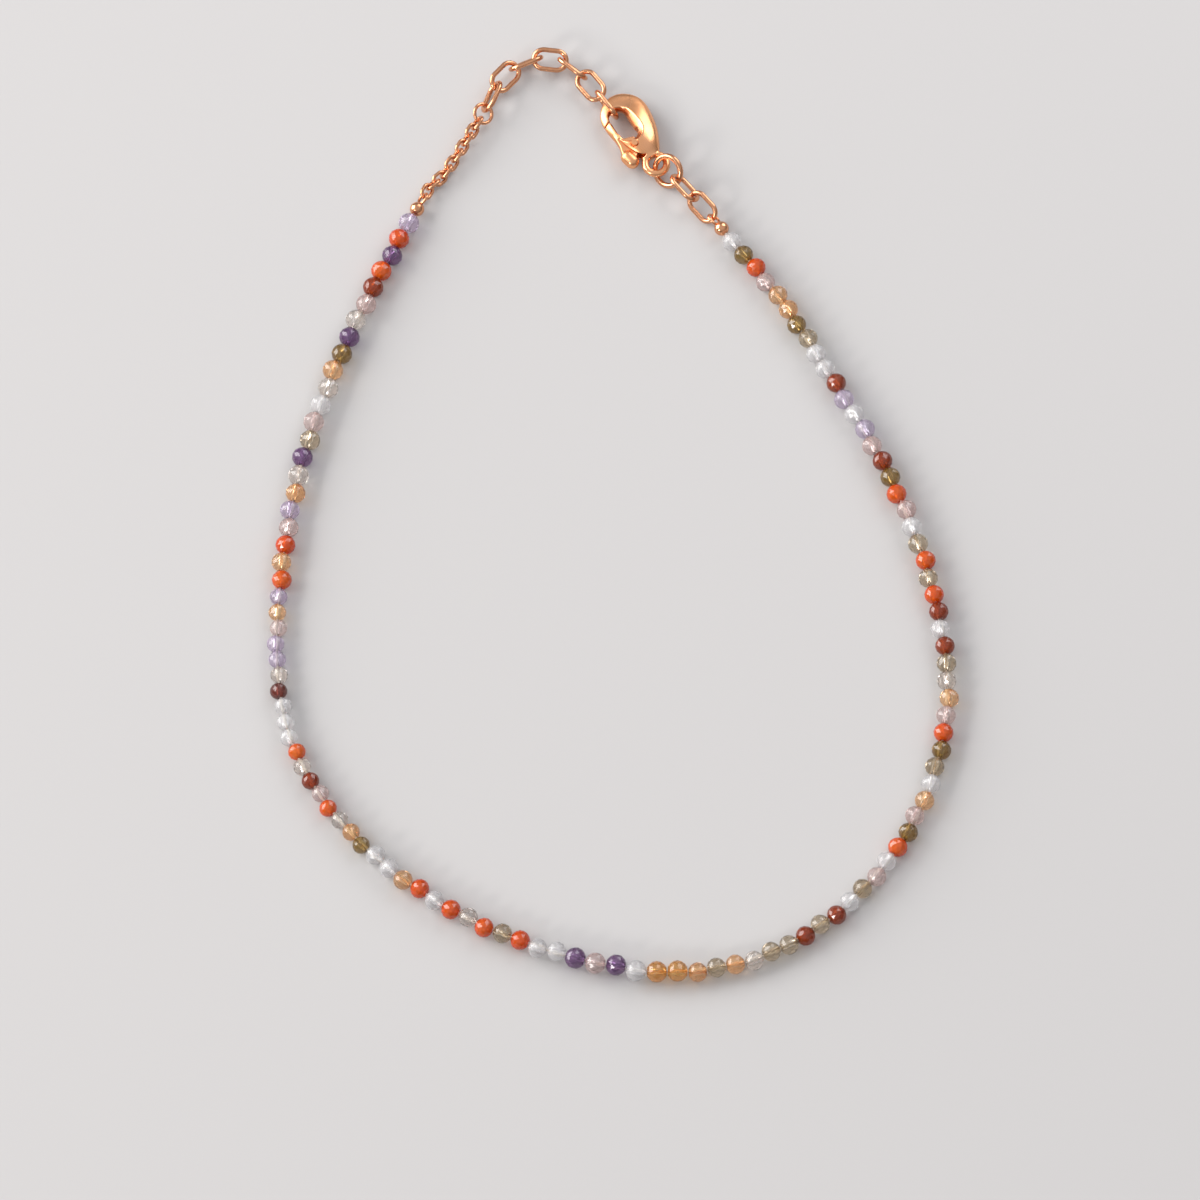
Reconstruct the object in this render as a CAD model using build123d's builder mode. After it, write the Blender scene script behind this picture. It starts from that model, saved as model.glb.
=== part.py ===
"""A beaded anklet, fastened and lying on a table in a teardrop loop.

A string of small faceted stones runs between two end caps. The left cap carries a fine chain and
an extension chain, whose last link is held in the hook of a lobster clasp. The clasp's eye, a
jump ring and two more links lead back to the right cap. Millimetres, +Z up off the table, +Y
towards the clasp, and the origin is on the table under the middle of the loop's box.
"""

import os
from math import asin, cos, pi, radians, sin, tan

from build123d import *

os.makedirs("parts", exist_ok=True)

# Stones, in the order they are strung from the left cap round to the right one.
# Each row: how many stones, and the length that each takes up along the string.
STONE_RUNS = (
    (16, 2.04),
    (6, 1.94),
    (18, 1.72),
    (12, 1.90),
    (6, 2.04),
    (30, 1.90),
    (12, 1.97),
    (10, 1.92),
)
STONE_WIDTH = 1.05  # a stone's width across the string, over its length along it
STONE_GAP = 0.15  # left between the flat ends of two neighbours
STONE_SIDES = 8
# Each row: distance from a stone's middle over half its length, and radius over half its width.
STONE_PROFILE = ((-1.0, 0.50), (-0.72, 0.82), (-0.25, 1.0), (0.25, 1.0), (0.72, 0.82), (1.0, 0.50))
STONE_TURN = 16.0  # degrees that each stone is turned about the string from the one before
STONE_SWAY = 0.14  # how far the stones stray to either side of the thread
STONE_SWAY_STEP = 2.3  # radians of that stray from one stone to the next
DRILL_DIAMETER = 0.65

THREAD_DIAMETER = 0.24
THREAD_HEIGHT = 1.0
BEND_SHARE = 0.45  # of the shorter run beside a bend, taken up by the bend's arc
# The middle of the thread, from the left cap, down the left side and round to the right cap.
THREAD_ROUTE = (
    (-19.85, 33.38),
    (-24.2, 24.6),
    (-28.2, 15.1),
    (-31.5, 4.3),
    (-33.2, -7.0),
    (-33.6, -17.0),
    (-32.2, -26.0),
    (-27.9, -33.6),
    (-21.6, -40.2),
    (-13.2, -45.7),
    (-4.0, -49.2),
    (5.4, -51.0),
    (14.0, -49.7),
    (21.3, -45.6),
    (27.6, -39.1),
    (31.9, -31.1),
    (34.0, -21.6),
    (33.1, -12.4),
    (30.9, -3.4),
    (26.9, 6.3),
    (22.2, 14.6),
    (17.9, 22.5),
    (11.4, 31.15),
)

CAP_DIAMETER = 1.5
CAP_BORE = 0.34
CAP_BORE_DEPTH = 0.9
CAP_LOOP = 1.3  # the loop's diameter, measured to the middle of its wire
CAP_LOOP_WIRE = 0.30
CAP_TO_LOOP = 1.30  # between the middle of the cap and the middle of its loop

LINK_GAP = 0.10  # between two wires that hook into each other
LINK_LENGTH = 3.90
LINK_WIDTH = 2.50
LINK_WIRE = 0.52
LINK_ROLLS = (80.0, -20.0, 66.0, -26.0, 62.0, -30.0, 58.0)  # degrees about the chain, flat is 0
CONNECTOR_DIAMETER = 2.0  # to the middle of its wire
CONNECTOR_WIRE = 0.36
CONNECTOR_ROLL = -34.0
FINE_LINKS = 10
FINE_LENGTH = 1.90
FINE_WIDTH = 1.44
FINE_WIRE = 0.38
FINE_ROLLS = (52.0, -38.0)
LEFT_LOOP_ROLL = -52.0

JUMP_DIAMETER = 3.1  # to the middle of its wire
JUMP_WIRE = 0.60
JUMP_ROLL = 50.0
JUMP_SPLIT = 2.0  # degrees of the ring, left open where its cut ends meet
CLASP_LINK_ROLLS = (-44.0, 46.0)
RIGHT_LOOP_ROLL = 44.0

# The clasp lies flat: X from its eye to the front of its hook, Y towards its lever.
CLASP_ORIGIN = (1.5, 44.0, 1.215)
CLASP_ANGLE = 120.0
# Cross sections of the clasp before it is cut: X, half of its width and half of its height.
CLASP_SECTIONS = (
    (-5.6, 0.80, 0.50),
    (-4.7, 1.40, 0.90),
    (-3.4, 2.00, 1.20),
    (-1.8, 2.42, 1.215),
    (-0.2, 2.58, 0.96),
    (1.2, 2.28, 0.62),
    (2.0, 1.62, 0.50),
    (2.4, 1.00, 0.38),
)
CLASP_NOSE = 2.62
OPENING_WIDTH = 1.8
OPENING_FRONT = 1.0
OPENING_REAR = -2.75
OPENING_OFFSET = 0.80  # towards the lever
# The opening widens up and down: height from the middle plane, and how far each side is set out.
OPENING_FLARE = ((0.22, 0.0), (0.50, 0.14), (0.80, 0.38), (1.4, 0.95))
MOUTH_REAR = -2.3
EYE_X = -6.4
EYE_DIAMETER = 2.2
EYE_WIRE = 0.76
PIVOT = (-3.6, 0.95)
PIN_DIAMETER = 0.70
PIN_LENGTH = 2.40
PIN_PLAY = 0.05
LEVER_REACH = 3.64  # from the pivot to the lever's tip
LEVER_GAP = 0.10
LEVER_PLATE = 1.0  # thickness between the clasp's two cheeks
# The lever's flat plate from above: hub, root of the thumb pad and root of the arm.
LEVER_OUTLINE = (
    (-1.6, 1.70),
    (-1.6, 2.30),
    (-2.9, 2.30),
    (-3.7, 2.50),
    (-4.3, 2.60),
    (-4.9, 2.30),
    (-4.9, 1.50),
    (-4.5, 1.00),
    (-4.0, 0.15),
    (-3.2, 0.10),
    (-2.6, 0.60),
    (-2.35, 1.60),
)
LEVER_ROUND = 0.18
THUMB_PAD = ((-4.95, 1.98), (-4.3, 2.12))  # the ends of the rounded pad's middle line
THUMB_PAD_RADIUS = 0.75
SLOT_X = (-5.2, -1.9)
SLOT_FLOOR = -0.4
HELD_LINK_X = 0.38  # where the middle of the held link's wire passes through the opening

# The middle of the left chain after the clasp's hook, down to the loop of the left cap.
LEFT_ROUTE = (
    (-1.9, 47.4, 1.35),
    (-3.8, 49.7, 1.35),
    (-6.2, 51.0, 1.35),
    (-9.2, 50.2, 1.32),
    (-11.5, 48.2, 1.30),
    (-12.6, 45.2, 1.28),
    (-14.4, 42.0, 1.24),
    (-16.1, 39.0, 1.00),
    (-17.3, 37.2, 0.70),
    (-18.49, 36.15, 0.90),
)


def link_plane(start, end, roll):
    """The plane of a link from start to end, with X along it, rolled about X from lying flat."""
    along = (end - start).normalized()
    side = Vector(0, 0, 1).cross(along).normalized()
    up = along.cross(side)
    normal = up * cos(radians(roll)) - side * sin(radians(roll))
    return Plane(origin=(start + end) / 2, x_dir=along, z_dir=normal)


def make_link(plane, length, width, wire):
    """An oval link of round wire: two straight sides and two half-round ends."""
    half_side = (length - width) / 2
    bend = (width - wire) / 2
    with BuildPart() as link:
        with BuildLine(plane) as loop:
            Line((-half_side, -bend), (half_side, -bend))
            ThreePointArc((half_side, -bend), (half_side + bend, 0), (half_side, bend))
            Line((half_side, bend), (-half_side, bend))
            ThreePointArc((-half_side, bend), (-half_side - bend, 0), (-half_side, -bend))
        path = loop.wire()
        with BuildSketch(Plane(origin=path @ 0, z_dir=path % 0)):
            Circle(wire / 2)
        sweep(path=path)
    return link.part


def ring_section(plane, diameter):
    """The plane across a ring's wire, at the ring's far end along X."""
    far_end = plane.from_local_coords((diameter / 2, 0, 0))
    return Plane(origin=far_end, x_dir=plane.x_dir, z_dir=plane.y_dir)


def make_ring(plane, diameter, wire, split=0.0):
    """A ring of round wire, with a split of so many degrees where its ends meet."""
    with BuildPart() as ring:
        with BuildSketch(ring_section(plane, diameter)):
            Circle(wire / 2)
        revolve(axis=Axis(plane.origin, plane.z_dir), revolution_arc=360 - split)
    return ring.part


def hook_in(wire, other_wire):
    """How far a wire's middle passes the point where it hooks into another wire."""
    return (wire + other_wire) / 4 + LINK_GAP / 2


def save(part, name):
    """Labels a finished piece and writes it to its STEP file."""
    part.label = name
    export_step(part, f"parts/{name}.step")


# --- Thread and stones -------------------------------------------------------------------------

route = [Vector(*point) for point in THREAD_ROUTE]
bend_radii = []
for before, corner, after in zip(route, route[1:], route[2:]):
    turn = (corner - before).get_angle(after - corner)
    run = min((corner - before).length, (after - corner).length)
    bend_radii.append(BEND_SHARE * run / tan(radians(turn / 2)))
print("thread bend radii:", [round(radius, 1) for radius in bend_radii])

with BuildLine(Plane.XY.offset(THREAD_HEIGHT)) as string_line:
    FilletPolyline(*THREAD_ROUTE, radius=bend_radii)
string_wire = string_line.wire()
string_length = string_wire.length


def string_plane(distance):
    """The plane across the string at a distance from the left cap, with X up off the table."""
    spot = string_wire.position_at(distance, PositionMode.LENGTH)
    heading = string_wire.tangent_at(distance, PositionMode.LENGTH)
    return Plane(origin=spot, x_dir=(0, 0, 1), z_dir=heading)


def make_stone(stone_length, width):
    """A drilled stone with a flat at each end and five rows of facets, its axis along Z."""
    with BuildPart() as stone:
        for height, radius in STONE_PROFILE:
            with BuildSketch(Plane.XY.offset(height * stone_length / 2)):
                RegularPolygon(radius * width / 2, STONE_SIDES)
        loft(ruled=True)
        with BuildSketch(Plane.XY.offset(-stone_length / 2)):
            RegularPolygon(DRILL_DIAMETER / 2, STONE_SIDES)
        extrude(amount=stone_length, mode=Mode.SUBTRACT)
    return stone.part


stone_places = {}
stones_strung = 0
reach = CAP_DIAMETER / 2 + STONE_GAP / 2
for count, pitch in STONE_RUNS:
    for _ in range(count):
        across = string_plane(reach + pitch / 2)
        sway = STONE_SWAY * sin(STONE_SWAY_STEP * stones_strung)
        lift = STONE_WIDTH * pitch / 2 - THREAD_HEIGHT
        place = across.location * Location((lift, sway, 0), (0, 0, STONE_TURN * stones_strung))
        stone_places.setdefault(pitch, []).append(place)
        reach += pitch
        stones_strung += 1
spare = string_length - reach - CAP_DIAMETER / 2
print("stones:", stones_strung, "string length:", round(string_length, 2), "spare:", round(spare, 2))

with BuildPart() as bead_string:
    for pitch, places in stone_places.items():
        stone = make_stone(pitch - STONE_GAP, STONE_WIDTH * pitch)
        with Locations(*places):
            add(stone)
save(bead_string.part, "bead_string")

with BuildPart() as thread:
    with BuildSketch(string_plane(0)):
        Circle(THREAD_DIAMETER / 2)
    sweep(path=string_wire)
save(thread.part, "thread")
tube_volume = pi * THREAD_DIAMETER**2 / 4 * string_length
print("thread volume:", round(thread.part.volume, 3), "of", round(tube_volume, 3))

# --- End caps ----------------------------------------------------------------------------------


def make_cap(middle, loop_middle, roll):
    """A ball with a bore for the thread's end and a soldered loop of wire on the far side."""
    outward = (loop_middle - middle).normalized()
    loop_plane = link_plane(middle, loop_middle, roll)
    loop_plane.origin = loop_middle
    bore_plane = Plane(origin=middle + outward * (CAP_BORE_DEPTH - CAP_DIAMETER / 2), z_dir=-outward)
    with BuildPart() as cap:
        with Locations(middle):
            Sphere(CAP_DIAMETER / 2)
        with BuildSketch(ring_section(loop_plane, CAP_LOOP)):
            Circle(CAP_LOOP_WIRE / 2)
        revolve(axis=Axis(loop_plane.origin, loop_plane.z_dir))
        with BuildSketch(bore_plane):
            Circle(CAP_BORE / 2)
        extrude(amount=CAP_DIAMETER, mode=Mode.SUBTRACT)
    return cap.part


left_middle = string_wire.position_at(0)
left_outward = -string_wire.tangent_at(0)
left_loop = left_middle + left_outward * CAP_TO_LOOP
right_middle = string_wire.position_at(1)
right_outward = string_wire.tangent_at(1)
right_loop = right_middle + right_outward * CAP_TO_LOOP
save(make_cap(left_middle, left_loop, LEFT_LOOP_ROLL), "left_end_cap")
save(make_cap(right_middle, right_loop, RIGHT_LOOP_ROLL), "right_end_cap")

# --- Clasp -------------------------------------------------------------------------------------

clasp_x = (cos(radians(CLASP_ANGLE)), sin(radians(CLASP_ANGLE)), 0)
clasp = Plane(origin=CLASP_ORIGIN, x_dir=clasp_x, z_dir=(0, 0, 1))
clasp_height = 2 * max(half_height for _, _, half_height in CLASP_SECTIONS)

with BuildPart() as clasp_form:
    for x, half_width, half_height in CLASP_SECTIONS:
        section_origin = clasp.from_local_coords((x, 0, 0))
        with BuildSketch(Plane(origin=section_origin, x_dir=clasp.y_dir, z_dir=clasp.x_dir)):
            Ellipse(half_width, half_height)
    nose = Vertex(clasp.from_local_coords((CLASP_NOSE, 0, 0)))
    loft(sections=[*clasp_form.pending_faces, nose])

with BuildPart() as clasp_opening:
    flare_below = [(-height, grow) for height, grow in reversed(OPENING_FLARE)]
    for height, grow in (*flare_below, *OPENING_FLARE):
        with BuildSketch(clasp.offset(height)):
            with Locations(((OPENING_FRONT + OPENING_REAR) / 2, OPENING_OFFSET)):
                SlotOverall(OPENING_FRONT - OPENING_REAR + 2 * grow, OPENING_WIDTH + 2 * grow)
    loft(ruled=True)


def mouth_block(reach, rear):
    """The block of space in the clasp's mouth, out to an arc about the pivot."""
    with BuildPart() as block:
        with BuildSketch(clasp):
            with Locations((rear, OPENING_OFFSET)):
                Rectangle(2 * LEVER_REACH, 2 * LEVER_REACH, align=(Align.MIN, Align.MIN))
            with Locations(PIVOT):
                Circle(reach, mode=Mode.INTERSECT)
        extrude(amount=clasp_height, both=True)
    return block.part


with BuildPart() as clasp_body:
    add(clasp_form.part)
    add(clasp_opening.part, mode=Mode.SUBTRACT)
    add(mouth_block(LEVER_REACH + LEVER_GAP, MOUTH_REAR), mode=Mode.SUBTRACT)
    with BuildSketch(clasp):
        with Locations((SLOT_X[0], SLOT_FLOOR)):
            Rectangle(SLOT_X[1] - SLOT_X[0], 2 * LEVER_REACH, align=(Align.MIN, Align.MIN))
    extrude(amount=LEVER_PLATE / 2 + PIN_PLAY, both=True, mode=Mode.SUBTRACT)
    with BuildSketch(clasp):
        with Locations(PIVOT):
            Circle(PIN_DIAMETER / 2)
    extrude(amount=clasp_height, both=True, mode=Mode.SUBTRACT)
    eye_middle = clasp.from_local_coords((EYE_X, 0, 0))
    eye_plane = Plane(origin=eye_middle, x_dir=clasp.x_dir, z_dir=clasp.z_dir)
    with BuildSketch(ring_section(eye_plane, EYE_DIAMETER)):
        Circle(EYE_WIRE / 2)
    revolve(axis=Axis(eye_plane.origin, eye_plane.z_dir))
save(clasp_body.part, "clasp_body")

with BuildPart() as clasp_lever:
    add(clasp_form.part)
    add(mouth_block(LEVER_REACH, MOUTH_REAR + LEVER_GAP), mode=Mode.INTERSECT)
    add(clasp_opening.part, mode=Mode.SUBTRACT)
    with BuildSketch(clasp) as plate:
        with BuildLine():
            Polyline(*LEVER_OUTLINE, close=True)
        make_face()
        fillet(plate.vertices(), LEVER_ROUND)
    extrude(amount=LEVER_PLATE / 2, both=True)
    pad_rear, pad_front = (clasp.from_local_coords((*end, 0)) for end in THUMB_PAD)
    with Locations(pad_rear, pad_front):
        Sphere(THUMB_PAD_RADIUS)
    with BuildSketch(Plane(origin=pad_rear, z_dir=pad_front - pad_rear)):
        Circle(THUMB_PAD_RADIUS)
    extrude(amount=(pad_front - pad_rear).length)
    with BuildSketch(clasp):
        with Locations(PIVOT):
            Circle(PIN_DIAMETER / 2 + PIN_PLAY)
    extrude(amount=clasp_height, both=True, mode=Mode.SUBTRACT)
save(clasp_lever.part, "clasp_lever")

with BuildPart() as clasp_pin:
    with BuildSketch(clasp):
        with Locations(PIVOT):
            Circle(PIN_DIAMETER / 2)
    extrude(amount=PIN_LENGTH / 2, both=True)
save(clasp_pin.part, "clasp_pin")

# --- Left chain: extension links, connector ring, fine chain -----------------------------------

held_point = clasp.from_local_coords((HELD_LINK_X, OPENING_OFFSET, 0))
with BuildLine() as left_line:
    Polyline(held_point, *LEFT_ROUTE, left_loop)
left_wire = left_line.wire()

link_span = LINK_LENGTH - LINK_WIRE
fine_span = FINE_LENGTH - FINE_WIRE
left_pieces = [(link_span, LINK_WIRE)] * len(LINK_ROLLS)
left_pieces += [(CONNECTOR_DIAMETER, CONNECTOR_WIRE)]
left_pieces += [(fine_span, FINE_WIRE)] * FINE_LINKS
# Where each piece hooks into the next, as a distance down the chain from the clasp's hook.
next_wires = [wire for _, wire in left_pieces[1:]] + [CAP_LOOP_WIRE]
left_hooks = []
inner_end = 0.0
for (span, wire), next_wire in zip(left_pieces, next_wires):
    overlap = hook_in(wire, next_wire)
    hook = inner_end + span - overlap
    left_hooks.append(hook)
    inner_end = hook - overlap
loop_hook = inner_end + CAP_LOOP / 2
print("left chain:", round(loop_hook, 2), "of", round(left_wire.length, 2))


def left_ends(index, span, wire):
    """The ends of a left chain piece's middle line, so long, between its two hooking points."""
    near = left_wire.position_at(left_hooks[index - 1], PositionMode.LENGTH) if index else held_point
    far = left_wire.position_at(left_hooks[index], PositionMode.LENGTH)
    along = (far - near).normalized()
    start = near if index == 0 else (near + far) / 2 - along * span / 2
    return start, start + along * span


for index, roll in enumerate(LINK_ROLLS):
    start, end = left_ends(index, link_span, LINK_WIRE)
    link = make_link(link_plane(start, end, roll), LINK_LENGTH, LINK_WIDTH, LINK_WIRE)
    save(link, f"extension_link_{index + 1}")

connector_index = len(LINK_ROLLS)
start, end = left_ends(connector_index, CONNECTOR_DIAMETER, CONNECTOR_WIRE)
connector_plane = link_plane(start, end, CONNECTOR_ROLL)
save(make_ring(connector_plane, CONNECTOR_DIAMETER, CONNECTOR_WIRE), "connector_ring")

fine_links = []
for number in range(FINE_LINKS):
    start, end = left_ends(connector_index + 1 + number, fine_span, FINE_WIRE)
    plane = link_plane(start, end, FINE_ROLLS[number % 2])
    fine_links.append(make_link(plane, FINE_LENGTH, FINE_WIDTH, FINE_WIRE))
with BuildPart() as fine_chain:
    add(fine_links)
save(fine_chain.part, "fine_chain")

# --- Right chain: jump ring and two links ------------------------------------------------------

eye = eye_plane.origin
chain_heading = (right_loop - eye).normalized()
ring_heading = Vector(chain_heading.X, chain_heading.Y, 0).normalized()
ring_side = Vector(0, 0, 1).cross(ring_heading)
ring_slope = ring_side * cos(radians(JUMP_ROLL)) + Vector(0, 0, sin(radians(JUMP_ROLL)))
ring_middle_height = JUMP_DIAMETER / 2 * sin(radians(JUMP_ROLL)) + JUMP_WIRE / 2
ring_swing = asin((ring_middle_height - eye.Z) / (JUMP_DIAMETER / 2 * sin(radians(JUMP_ROLL))))
ring_offset = ring_heading * cos(ring_swing) + ring_slope * sin(ring_swing)
ring_middle = eye + ring_offset * (JUMP_DIAMETER / 2)
ring_plane = Plane(origin=ring_middle, x_dir=ring_heading, z_dir=ring_heading.cross(ring_slope))
ring_far = ring_middle + ring_heading * (JUMP_DIAMETER / 2)
save(make_ring(ring_plane, JUMP_DIAMETER, JUMP_WIRE, JUMP_SPLIT), "jump_ring")

right_heading = (right_loop - ring_far).normalized()
near = ring_far - right_heading * 2 * hook_in(JUMP_WIRE, LINK_WIRE)
for number, roll in enumerate(CLASP_LINK_ROLLS):
    far = near + right_heading * link_span
    link = make_link(link_plane(near, far, roll), LINK_LENGTH, LINK_WIDTH, LINK_WIRE)
    save(link, f"clasp_link_{number + 1}")
    near = far - right_heading * 2 * hook_in(LINK_WIRE, LINK_WIRE)
loop_near = right_loop - right_heading * CAP_LOOP / 2
loop_overlap = (far - loop_near).dot(right_heading)
wanted_overlap = 2 * hook_in(LINK_WIRE, CAP_LOOP_WIRE)
print("right chain overlaps its cap's loop by:", round(loop_overlap, 2), "of", wanted_overlap)
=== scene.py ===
"""A beaded anklet with a rose gold chain and lobster clasp, lying fastened on a pale surface."""

import math

import bmesh
import bpy
import numpy as np
from mathutils import Matrix, Vector


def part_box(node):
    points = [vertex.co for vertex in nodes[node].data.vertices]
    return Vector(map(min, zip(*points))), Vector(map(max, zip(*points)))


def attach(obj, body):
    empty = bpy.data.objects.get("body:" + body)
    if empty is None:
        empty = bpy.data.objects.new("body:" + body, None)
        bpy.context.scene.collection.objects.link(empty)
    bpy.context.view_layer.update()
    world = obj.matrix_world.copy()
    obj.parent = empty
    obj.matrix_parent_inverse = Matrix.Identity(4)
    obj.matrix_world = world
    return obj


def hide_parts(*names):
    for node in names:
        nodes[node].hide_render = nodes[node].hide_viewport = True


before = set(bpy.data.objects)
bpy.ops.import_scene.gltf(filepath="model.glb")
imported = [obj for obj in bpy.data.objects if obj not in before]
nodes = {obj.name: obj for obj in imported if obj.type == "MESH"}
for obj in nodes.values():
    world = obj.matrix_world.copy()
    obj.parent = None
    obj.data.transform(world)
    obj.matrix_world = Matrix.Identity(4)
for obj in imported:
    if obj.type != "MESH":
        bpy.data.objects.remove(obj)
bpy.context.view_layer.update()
scene = bpy.context.scene

# --- Camera, table top and light ---------------------------------------------------------------
# The anklet lies on a plain pale table and is seen from above its near side through a long lens.
# A wide low window on the left throws the long soft shadows, two small ones near the viewer and
# at the far right put bright patches on the stones and the clasp, and the walls are dim low down.

LENS_MM = 240
SENSOR_MM = 36
CAMERA_PLACE = (-0.00107, -0.3374, 0.7351)
CAMERA_TILT = math.radians(24)  # away from straight down
CAMERA_NEAREST = 0.05

camera_data = bpy.data.cameras.new("long_lens")
camera_data.lens = LENS_MM
camera_data.sensor_width = SENSOR_MM
camera_data.clip_start = CAMERA_NEAREST
camera = bpy.data.objects.new("camera", camera_data)
camera.location = CAMERA_PLACE
camera.rotation_euler = (CAMERA_TILT, 0, 0)
scene.collection.objects.link(camera)
scene.camera = camera
scene.view_settings.view_transform = "Standard"

TABLE_REACH = 2  # from the middle of the table top to each side of it
CORNER_SIGNS = ((-1, -1), (1, -1), (1, 1), (-1, 1))
table_corners = [(x * TABLE_REACH, y * TABLE_REACH, 0) for x, y in CORNER_SIGNS]
table_mesh = bpy.data.meshes.new("table_top")
table_mesh.from_pydata(table_corners, [], [(0, 1, 2, 3)])
table_top = bpy.data.objects.new("table_top", table_mesh)
scene.collection.objects.link(table_top)
pale_top = bpy.data.materials.new("pale_table_top")
pale_top.use_nodes = True
pale_shader = pale_top.node_tree.nodes["Principled BSDF"]
pale_shader.inputs["Base Color"].default_value = (0.54, 0.524, 0.516, 1)
pale_shader.inputs["Roughness"].default_value = 0.9
pale_shader.inputs["Specular IOR Level"].default_value = 0.1
table_mesh.materials.append(pale_top)

# Each window: its name, where it is, its width, its power in watts and its colour.
WINDOWS = (
    ("left_window", (-1.11, 0.34, 0.52), 1.1, 24.5, (1.0, 0.99, 0.98)),
    ("near_window", (-0.66, -0.66, 0.45), 0.20, 3.0, (1.0, 0.98, 0.95)),
    ("far_window", (0.30, 0.42, 0.36), 0.40, 1.6, (0.97, 0.98, 1.0)),
)
for name, place, width, power, colour in WINDOWS:
    lamp_data = bpy.data.lights.new(name, "AREA")
    lamp_data.size = width
    lamp_data.energy = power
    lamp_data.color = colour
    lamp = bpy.data.objects.new(name, lamp_data)
    lamp.location = place
    lamp.rotation_euler = (-Vector(place)).to_track_quat("-Z", "Y").to_euler()
    scene.collection.objects.link(lamp)

# Each shade of the room: how far up the sky it is, from 0 at the horizon to 1, and its colour.
LOW_WALLS = (0.05, (0.13, 0.124, 0.117, 1))
CEILING = (0.85, (0.65, 0.66, 0.69, 1))

room = bpy.data.worlds.new("room_with_pale_ceiling")
room.use_nodes = True
tree = room.node_tree
direction = tree.nodes.new("ShaderNodeTexCoord")
height = tree.nodes.new("ShaderNodeSeparateXYZ")
tree.links.new(direction.outputs["Generated"], height.inputs["Vector"])
walls = tree.nodes.new("ShaderNodeValToRGB")
for element, (up, shade) in zip(walls.color_ramp.elements, (LOW_WALLS, CEILING)):
    element.position = up
    element.color = shade
tree.links.new(height.outputs["Z"], walls.inputs["Fac"])
tree.links.new(walls.outputs["Color"], tree.nodes["Background"].inputs["Color"])
scene.world = room

# --- Rose gold wire, caps, chains and rings ----------------------------------------------------
# All the metal has one polished rose gold plate. The links are bent from round wire and soldered,
# so they are smooth, and the plate is a little rubbed and duller in patches.


def add_socket(group, name, kind, output=False):
    """A named socket on a node group's outside."""
    way = "OUTPUT" if output else "INPUT"
    return group.interface.new_socket(name, in_out=way, socket_type=kind)


UNRUBBED = 0.35  # the patches' noise below which the plate is whole
RUBBED_THROUGH = 0.7  # and above which it is fully rubbed

rubbing = bpy.data.node_groups.new("plate_rubbing", "ShaderNodeTree")
add_socket(rubbing, "Plate", "NodeSocketColor")
add_socket(rubbing, "Rubbed", "NodeSocketColor")
add_socket(rubbing, "Patch Size", "NodeSocketFloat")
add_socket(rubbing, "Smooth", "NodeSocketFloat")
add_socket(rubbing, "Dull", "NodeSocketFloat")
add_socket(rubbing, "Color", "NodeSocketColor", output=True)
add_socket(rubbing, "Roughness", "NodeSocketFloat", output=True)
add_socket(rubbing, "Height", "NodeSocketFloat", output=True)
tree = rubbing
group_in = tree.nodes.new("NodeGroupInput")
group_out = tree.nodes.new("NodeGroupOutput")
where = tree.nodes.new("ShaderNodeTexCoord")
patches = tree.nodes.new("ShaderNodeTexNoise")
patches.inputs["Detail"].default_value = 3
tree.links.new(where.outputs["Object"], patches.inputs["Vector"])
tree.links.new(group_in.outputs["Patch Size"], patches.inputs["Scale"])
spread = tree.nodes.new("ShaderNodeMapRange")
spread.inputs["From Min"].default_value = UNRUBBED
spread.inputs["From Max"].default_value = RUBBED_THROUGH
tree.links.new(patches.outputs["Fac"], spread.inputs["Value"])
tint = tree.nodes.new("ShaderNodeMix")
tint.data_type = "RGBA"
tree.links.new(spread.outputs["Result"], tint.inputs["Factor"])
tree.links.new(group_in.outputs["Plate"], tint.inputs[6])
tree.links.new(group_in.outputs["Rubbed"], tint.inputs[7])
tree.links.new(tint.outputs[2], group_out.inputs["Color"])
gloss = tree.nodes.new("ShaderNodeMix")
gloss.data_type = "FLOAT"
tree.links.new(spread.outputs["Result"], gloss.inputs["Factor"])
tree.links.new(group_in.outputs["Smooth"], gloss.inputs["A"])
tree.links.new(group_in.outputs["Dull"], gloss.inputs["B"])
tree.links.new(gloss.outputs["Result"], group_out.inputs["Roughness"])
tree.links.new(patches.outputs["Fac"], group_out.inputs["Height"])


RIPPLE_DEPTH = 0.0001


def rose_gold(name, plate, rubbed, patch_size, smooth, dull, ripple):
    """Polished rose gold plate, with rubbed patches and a faint ripple from polishing."""
    material = bpy.data.materials.new(name)
    material.use_nodes = True
    tree = material.node_tree
    shader = tree.nodes["Principled BSDF"]
    shader.inputs["Metallic"].default_value = 1.0
    wear = tree.nodes.new("ShaderNodeGroup")
    wear.node_tree = rubbing
    wear.inputs["Plate"].default_value = plate
    wear.inputs["Rubbed"].default_value = rubbed
    wear.inputs["Patch Size"].default_value = patch_size
    wear.inputs["Smooth"].default_value = smooth
    wear.inputs["Dull"].default_value = dull
    tree.links.new(wear.outputs["Color"], shader.inputs["Base Color"])
    tree.links.new(wear.outputs["Roughness"], shader.inputs["Roughness"])
    bump = tree.nodes.new("ShaderNodeBump")
    bump.inputs["Strength"].default_value = ripple
    bump.inputs["Distance"].default_value = RIPPLE_DEPTH
    tree.links.new(wear.outputs["Height"], bump.inputs["Height"])
    tree.links.new(bump.outputs["Normal"], shader.inputs["Normal"])
    return material


wire_plate = rose_gold(
    "rose_gold_wire",
    plate=(0.84, 0.41, 0.22, 1),
    rubbed=(0.64, 0.30, 0.16, 1),
    patch_size=900,
    smooth=0.16,
    dull=0.30,
    ripple=0.15,
)


REAL_EDGE = math.radians(35)  # faces that meet at a sharper turn than this keep their edge


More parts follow.
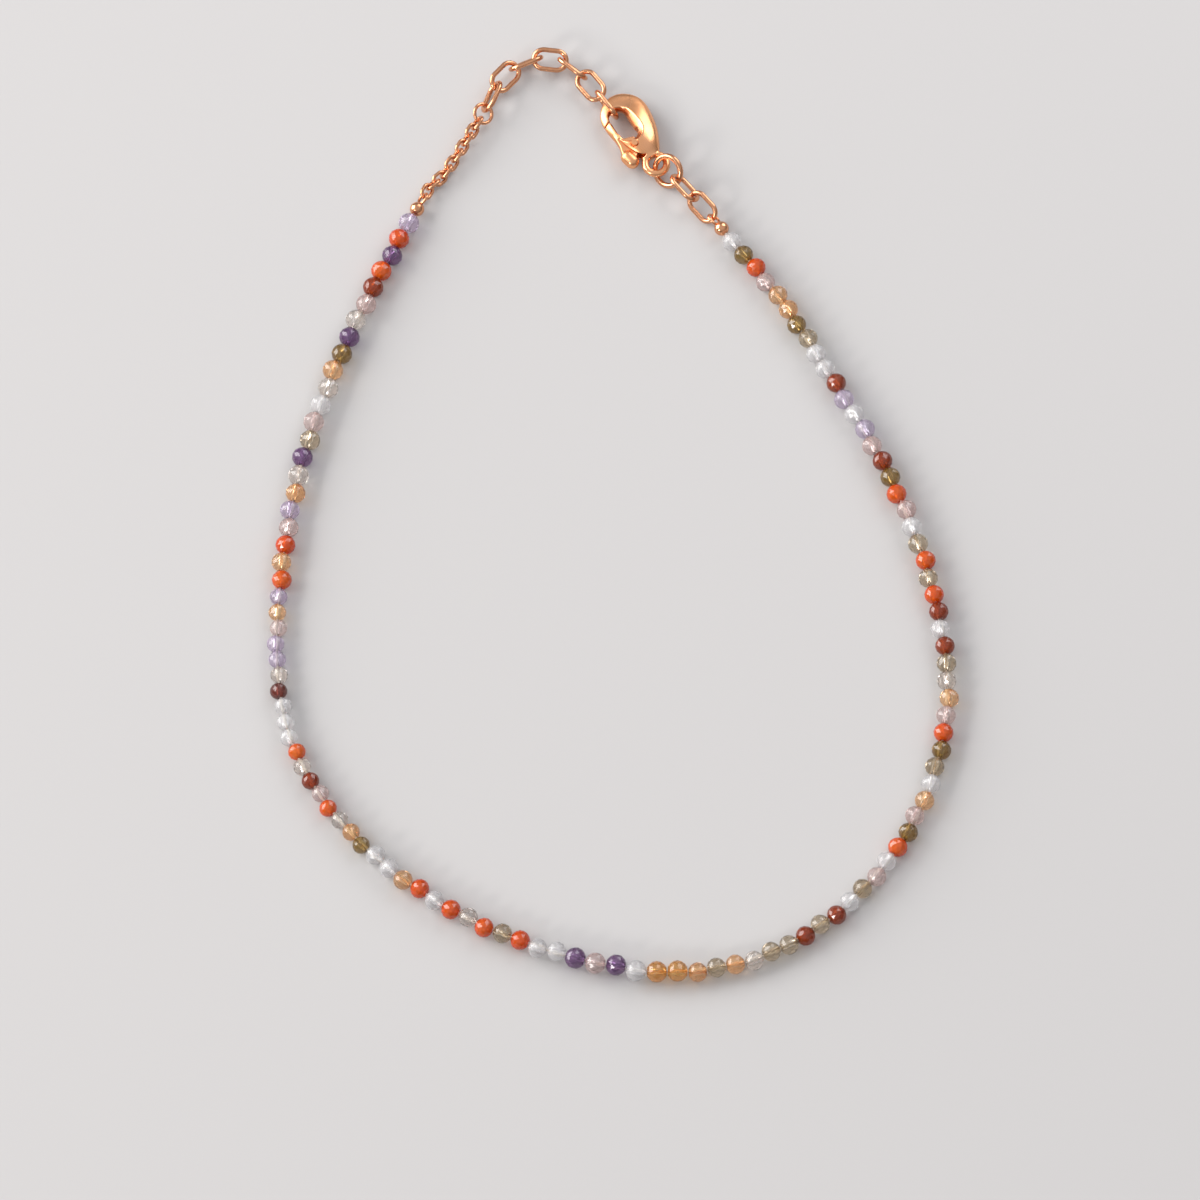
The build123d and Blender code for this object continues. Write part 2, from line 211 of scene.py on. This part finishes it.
def dress(node, material):
    """Gives a CAD node its finish and smooth shading that keeps its real edges."""
    piece = nodes[node]
    piece.data.materials.clear()
    piece.data.materials.append(material)
    for face in piece.data.polygons:
        face.use_smooth = True
    piece.data.set_sharp_from_angle(angle=REAL_EDGE)


for node in ("left_end_cap", "right_end_cap", "connector_ring", "jump_ring"):
    dress(node, wire_plate)


SAME_CORNER = 1e-7  # corners nearer than this are one corner


def loose_solids(piece):
    """The corners of each separate solid of a node, as arrays."""
    shape = bmesh.new()
    shape.from_mesh(piece.data)
    bmesh.ops.remove_doubles(shape, verts=shape.verts, dist=SAME_CORNER)
    solids = []
    taken = set()
    for first in shape.verts:
        if first in taken:
            continue
        taken.add(first)
        found = [first]
        for corner in found:
            for edge in corner.link_edges:
                other = edge.other_vert(corner)
                if other not in taken:
                    taken.add(other)
                    found.append(other)
        solids.append(np.array([corner.co for corner in found]))
    shape.free()
    return solids


BEND_STEPS = 18  # along each half-round end of a link
WIRE_SIDES = 14


def add_link(shape, corners):
    """An evenly bent oval link of round wire, in the place of the solid with these corners."""
    centre = corners.mean(0)
    axes = np.linalg.svd(corners - centre, full_matrices=False)[2]
    spread = (corners - centre) @ axes.T
    low, high = spread.min(0), spread.max(0)
    middle = Vector(centre + (low + high) / 2 @ axes)
    length, width, wire = high - low
    along, across, up = (Vector(axis) for axis in axes)
    half_side, bend = (length - width) / 2, (width - wire) / 2
    rings = []
    for end in (1, -1):
        for step in range(BEND_STEPS + 1):
            angle = math.pi * (step / BEND_STEPS - 0.5)
            outward = (along * math.cos(angle) + across * math.sin(angle)) * end
            spot = middle + along * half_side * end + outward * bend
            ring = []
            for side in range(WIRE_SIDES):
                round_wire = 2 * math.pi * side / WIRE_SIDES
                offset = outward * math.cos(round_wire) + up * math.sin(round_wire)
                ring.append(shape.verts.new(spot + offset * wire / 2))
            rings.append(ring)
    for ring, following in zip(rings, rings[1:] + rings[:1]):
        for side in range(WIRE_SIDES):
            after = (side + 1) % WIRE_SIDES
            face = shape.faces.new((ring[side], following[side], following[after], ring[after]))
            face.smooth = True


EXTENSION_LINKS = 7
link_nodes = [f"extension_link_{number + 1}" for number in range(EXTENSION_LINKS)]
for node in (*link_nodes, "clasp_link_1", "clasp_link_2", "fine_chain"):
    shape = bmesh.new()
    for corners in loose_solids(nodes[node]):
        add_link(shape, corners)
    bmesh.ops.recalc_face_normals(shape, faces=shape.faces)
    bent = bpy.data.meshes.new(f"bent_{node}")
    shape.to_mesh(bent)
    shape.free()
    bent.materials.append(wire_plate)
    link = bpy.data.objects.new(f"bent_{node}", bent)
    scene.collection.objects.link(link)
    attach(link, "anklet")
    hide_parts(node)

# --- Lobster clasp -----------------------------------------------------------------------------
# The clasp's body and lever are castings, tumbled until they are round at every edge and then
# plated, which gives them a softer shine than the drawn wire. The lever turns on a riveted pin.

cast_plate = rose_gold(
    "rose_gold_casting",
    plate=(0.95, 0.47, 0.24, 1),
    rubbed=(0.89, 0.40, 0.175, 1),
    patch_size=420,
    smooth=0.24,
    dull=0.36,
    ripple=0.1,
)
dress("clasp_pin", cast_plate)

TUMBLING_GRAIN = 0.00006  # the size of the mesh's faces on a tumbled casting
TUMBLING_PASSES = 14
TUMBLING_BITE = 0.5  # how far each pass moves a corner towards the middle of its neighbours
WORKING_SCALE = 100  # the remesh only takes sizes well over a tenth of a millimetre


def tumble(node, body):
    """A copy of a CAD casting, with all its edges worn round, in that node's place."""
    rough = nodes[node].data.copy()
    rough.transform(Matrix.Scale(WORKING_SCALE, 4))
    blank = bpy.data.objects.new(f"{node}_blank", rough)
    scene.collection.objects.link(blank)
    skin = blank.modifiers.new("even_skin", "REMESH")
    skin.mode = "VOXEL"
    skin.voxel_size = TUMBLING_GRAIN * WORKING_SCALE
    wear = blank.modifiers.new("worn_edges", "SMOOTH")
    wear.factor = TUMBLING_BITE
    wear.iterations = TUMBLING_PASSES
    worn = blank.evaluated_get(bpy.context.evaluated_depsgraph_get())
    worn_mesh = bpy.data.meshes.new_from_object(worn)
    worn_mesh.transform(Matrix.Scale(1 / WORKING_SCALE, 4))
    bpy.data.objects.remove(blank)
    worn_mesh.materials.clear()
    worn_mesh.materials.append(cast_plate)
    for face in worn_mesh.polygons:
        face.use_smooth = True
    casting = bpy.data.objects.new(f"tumbled_{node}", worn_mesh)
    scene.collection.objects.link(casting)
    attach(casting, body)
    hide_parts(node)


tumble("clasp_body", "anklet")
tumble("clasp_lever", "clasp_lever")

# --- Beading thread ----------------------------------------------------------------------------
# One fine pale thread of twisted fibre carries every stone and ends inside the two end caps. It
# shows only in the narrow gaps between the stones.

THREAD_SHADE = (0.62, 0.56, 0.48, 1)
THREAD_LIGHT = (0.86, 0.82, 0.75, 1)
STRAND_SCALE = 3000
STRAND_DEPTH = 0.00002

twist = bpy.data.materials.new("pale_thread")
twist.use_nodes = True
tree = twist.node_tree
shader = tree.nodes["Principled BSDF"]
shader.inputs["Roughness"].default_value = 0.8
shader.inputs["Sheen Weight"].default_value = 0.3
where = tree.nodes.new("ShaderNodeTexCoord")
strands = tree.nodes.new("ShaderNodeTexWave")
strands.bands_direction = "DIAGONAL"
strands.inputs["Scale"].default_value = STRAND_SCALE
strands.inputs["Distortion"].default_value = 1.5
tree.links.new(where.outputs["Object"], strands.inputs["Vector"])
fibre = tree.nodes.new("ShaderNodeMix")
fibre.data_type = "RGBA"
fibre.inputs[6].default_value = THREAD_SHADE
fibre.inputs[7].default_value = THREAD_LIGHT
tree.links.new(strands.outputs["Fac"], fibre.inputs["Factor"])
tree.links.new(fibre.outputs[2], shader.inputs["Base Color"])
lay = tree.nodes.new("ShaderNodeBump")
lay.inputs["Strength"].default_value = 0.4
lay.inputs["Distance"].default_value = STRAND_DEPTH
tree.links.new(strands.outputs["Fac"], lay.inputs["Height"])
tree.links.new(lay.outputs["Normal"], shader.inputs["Normal"])
thread = nodes["thread"]
thread.data.materials.clear()
thread.data.materials.append(twist)
for face in thread.data.polygons:
    face.use_smooth = True

# --- Strung stones -----------------------------------------------------------------------------
# Small drilled stones of quartz, garnet and the like, ground with rows of tiny facets and strung
# in no set order. Each colour is one kind of stone, and no two are quite the same tone.

# The stones from the left cap, down the left side and round to the right cap.
STRINGING = """
lavender orange amethyst orange garnet pink clear amethyst olive citrine clear
milky pink champagne amethyst clear citrine lavender pink orange citrine orange
lavender citrine pink lavender lavender clear wine milky milky milky orange
clear garnet pink orange clear citrine olive milky milky citrine orange
milky orange clear orange champagne orange milky milky amethyst pink amethyst
milky honey honey citrine champagne citrine clear champagne champagne garnet champagne
garnet milky champagne pink milky orange olive pink citrine milky champagne
olive orange pink citrine clear champagne garnet milky garnet orange champagne
orange champagne milky pink orange olive garnet pink lavender milky lavender
garnet milky milky champagne olive citrine citrine pink orange olive milky
"""
order = STRINGING.split()

# Colour, how much light passes through, and how rough the polish is, for each kind of stone.
STONE_KINDS = {
    "orange": ((0.88, 0.19, 0.010, 1), 0.50, 0.09),
    "garnet": ((0.52, 0.085, 0.006, 1), 0.66, 0.08),
    "wine": ((0.32, 0.070, 0.045, 1), 0.60, 0.08),
    "amethyst": ((0.40, 0.225, 0.45, 1), 0.80, 0.08),
    "lavender": ((0.83, 0.75, 0.87, 1), 0.84, 0.14),
    "pink": ((0.92, 0.80, 0.78, 1), 0.84, 0.14),
    "milky": ((0.985, 0.975, 0.98, 1), 0.80, 0.18),
    "clear": ((0.97, 0.92, 0.88, 1), 0.94, 0.05),
    "champagne": ((0.81, 0.715, 0.575, 1), 0.94, 0.05),
    "olive": ((0.57, 0.40, 0.14, 1), 0.85, 0.06),
    "honey": ((0.97, 0.65, 0.26, 1), 0.88, 0.06),
    "citrine": ((1.0, 0.74, 0.47, 1), 0.88, 0.06),
}
STONE_IOR = 1.62
PAINTED_RIM_SHADE_DEPTH = 1.6  # how much the painted shade deepens a stone's colour where it is seen at a slant
PAINTED_RIM_SHADE_SPREAD = 0.3  # how far in from a stone's outline the painted rim shade reaches
CLOUD_SCALE = 1400
CLOUD_SHARE = 0.35  # how much of a cloud is added to a stone's own tone
CLOUD_HAZE = 0.06  # what a cloud adds to the roughness
TONE_DEPTH = 0.8  # how much clouds and tone deepen the colour

veils = bpy.data.node_groups.new("stone_veils", "ShaderNodeTree")
add_socket(veils, "Stone", "NodeSocketColor")
add_socket(veils, "Depth", "NodeSocketFloat")
add_socket(veils, "Polish", "NodeSocketFloat")
add_socket(veils, "Color", "NodeSocketColor", output=True)
add_socket(veils, "Roughness", "NodeSocketFloat", output=True)
tree = veils
group_in = tree.nodes.new("NodeGroupInput")
group_out = tree.nodes.new("NodeGroupOutput")
where = tree.nodes.new("ShaderNodeTexCoord")
cloud = tree.nodes.new("ShaderNodeTexNoise")
cloud.inputs["Scale"].default_value = CLOUD_SCALE
cloud.inputs["Detail"].default_value = 4
tree.links.new(where.outputs["Object"], cloud.inputs["Vector"])
tone = tree.nodes.new("ShaderNodeAttribute")
tone.attribute_name = "stone_tone"
both = tree.nodes.new("ShaderNodeMath")
both.operation = "MULTIPLY_ADD"
both.inputs[1].default_value = CLOUD_SHARE
tree.links.new(cloud.outputs["Fac"], both.inputs[0])
tree.links.new(tone.outputs["Fac"], both.inputs[2])
deepen = tree.nodes.new("ShaderNodeMath")
deepen.operation = "MULTIPLY"
tree.links.new(both.outputs["Value"], deepen.inputs[0])
tree.links.new(group_in.outputs["Depth"], deepen.inputs[1])
darker = tree.nodes.new("ShaderNodeMix")
darker.data_type = "RGBA"
darker.blend_type = "MULTIPLY"
tree.links.new(deepen.outputs["Value"], darker.inputs["Factor"])
tree.links.new(group_in.outputs["Stone"], darker.inputs[6])
tree.links.new(group_in.outputs["Stone"], darker.inputs[7])
tree.links.new(darker.outputs[2], group_out.inputs["Color"])
haze = tree.nodes.new("ShaderNodeMath")
haze.operation = "MULTIPLY_ADD"
haze.inputs[1].default_value = CLOUD_HAZE
tree.links.new(cloud.outputs["Fac"], haze.inputs[0])
tree.links.new(group_in.outputs["Polish"], haze.inputs[2])
tree.links.new(haze.outputs["Value"], group_out.inputs["Roughness"])


def stone_material(kind, colour, passing, polish):
    """Polished stone that light passes through, with faint clouds and painted shade darkening its
    rim where it is seen at a slant.
    """
    material = bpy.data.materials.new(f"{kind}_stone")
    material.use_nodes = True
    tree = material.node_tree
    shader = tree.nodes["Principled BSDF"]
    shader.inputs["Transmission Weight"].default_value = passing
    shader.inputs["IOR"].default_value = STONE_IOR
    cloudy = tree.nodes.new("ShaderNodeGroup")
    cloudy.node_tree = veils
    cloudy.inputs["Stone"].default_value = colour
    cloudy.inputs["Depth"].default_value = TONE_DEPTH
    cloudy.inputs["Polish"].default_value = polish
    # Painted shade: the colour is multiplied darker where the stone is seen at a slant, so its
    # rim reads dark.
    grazing = tree.nodes.new("ShaderNodeLayerWeight")
    grazing.inputs["Blend"].default_value = PAINTED_RIM_SHADE_SPREAD
    painted_rim_shade = tree.nodes.new("ShaderNodeMix")
    painted_rim_shade.data_type = "RGBA"
    painted_rim_shade.blend_type = "MULTIPLY"
    painted_rim_shade.inputs[7].default_value = [channel**PAINTED_RIM_SHADE_DEPTH for channel in colour]
    tree.links.new(grazing.outputs["Facing"], painted_rim_shade.inputs["Factor"])
    tree.links.new(cloudy.outputs["Color"], painted_rim_shade.inputs[6])
    tree.links.new(painted_rim_shade.outputs[2], shader.inputs["Base Color"])
    tree.links.new(cloudy.outputs["Roughness"], shader.inputs["Roughness"])
    return material


# The loose solids of the string are put in their order, each after the one nearest to it.
solids = loose_solids(nodes["bead_string"])
middles = [(solid.min(0) + solid.max(0)) / 2 for solid in solids]
cap_low, cap_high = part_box("left_end_cap")
last = np.array((cap_low + cap_high) / 2)
strung = []
waiting = list(range(len(solids)))
while waiting:
    nearest = min(waiting, key=lambda item: np.linalg.norm(middles[item] - last))
    waiting.remove(nearest)
    strung.append(nearest)
    last = middles[nearest]

# A stone's rows of facets: place along the drill hole over half its length, radius over half
# its width, and how far round the row's corners stand, in facets.
FACET_ROWS = (
    (-1.0, 0.40, 0.0),
    (-0.78, 0.69, 0.5),
    (-0.42, 0.92, 0.0),
    (0.0, 1.0, 0.5),
    (0.42, 0.92, 0.0),
    (0.78, 0.69, 0.5),
    (1.0, 0.40, 0.0),
)
FACETS_ROUND = 12
DRILL_RADIUS = 0.00018
LENGTH_KEPT = 0.99  # of the solid's length, so that a stone stays clear of its neighbours
LIGHTEST_TONE, DEEPEST_TONE = 0.0, 0.5


def add_stone(shape, middle, along, half_length, half_width, turn):
    """One faceted stone round its drill hole, added to the mesh being made. Returns its faces."""
    across = along.orthogonal().normalized()
    beside = along.cross(across)
    rings = []
    rows = [(place * half_length, radius * half_width, lag) for place, radius, lag in FACET_ROWS]
    rows.append((half_length, DRILL_RADIUS, 0.0))
    rows.append((-half_length, DRILL_RADIUS, 0.0))
    for place, radius, lag in rows:
        ring = []
        for side in range(FACETS_ROUND):
            angle = turn + 2 * math.pi * (side + lag) / FACETS_ROUND
            outward = across * math.cos(angle) + beside * math.sin(angle)
            ring.append(shape.verts.new(middle + along * place + outward * radius))
        rings.append(ring)
    lags = [lag for place, radius, lag in rows]
    faces = []
    for low, high, lag, next_lag in zip(rings, rings[1:] + rings[:1], lags, lags[1:] + lags[:1]):
        for side in range(FACETS_ROUND):
            after = (side + 1) % FACETS_ROUND
            if lag == next_lag:
                faces.append(shape.faces.new((low[side], low[after], high[after], high[side])))
            elif next_lag > lag:
                faces.append(shape.faces.new((low[side], low[after], high[side])))
                faces.append(shape.faces.new((low[after], high[after], high[side])))
            else:
                faces.append(shape.faces.new((low[side], low[after], high[after])))
                faces.append(shape.faces.new((low[side], high[after], high[side])))
    return faces


luck = np.random.default_rng(7)
places = [Vector(middles[item]) for item in strung]
tones = luck.uniform(LIGHTEST_TONE, DEEPEST_TONE, len(places))
turns = luck.uniform(0.0, 2 * math.pi, len(places))
for kind, (colour, passing, polish) in STONE_KINDS.items():
    shape = bmesh.new()
    tone_layer = shape.faces.layers.float.new("stone_tone")
    for number, name in enumerate(order):
        if name != kind:
            continue
        before = places[max(number - 1, 0)]
        after = places[min(number + 1, len(places) - 1)]
        along = (after - before).normalized()
        corners = solids[strung[number]] - np.array(places[number])
        run = corners @ np.array(along)
        out = np.linalg.norm(corners - np.outer(run, np.array(along)), axis=1)
        half_length = np.abs(run).max() * LENGTH_KEPT
        turn = turns[number]
        for face in add_stone(shape, places[number], along, half_length, out.max(), turn):
            face[tone_layer] = tones[number]
    stones_mesh = bpy.data.meshes.new(f"{kind}_stones")
    shape.to_mesh(stones_mesh)
    shape.free()
    stones_mesh.materials.append(stone_material(kind, colour, passing, polish))
    stones = bpy.data.objects.new(f"{kind}_stones", stones_mesh)
    scene.collection.objects.link(stones)
    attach(stones, "anklet")
    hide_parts("bead_string")
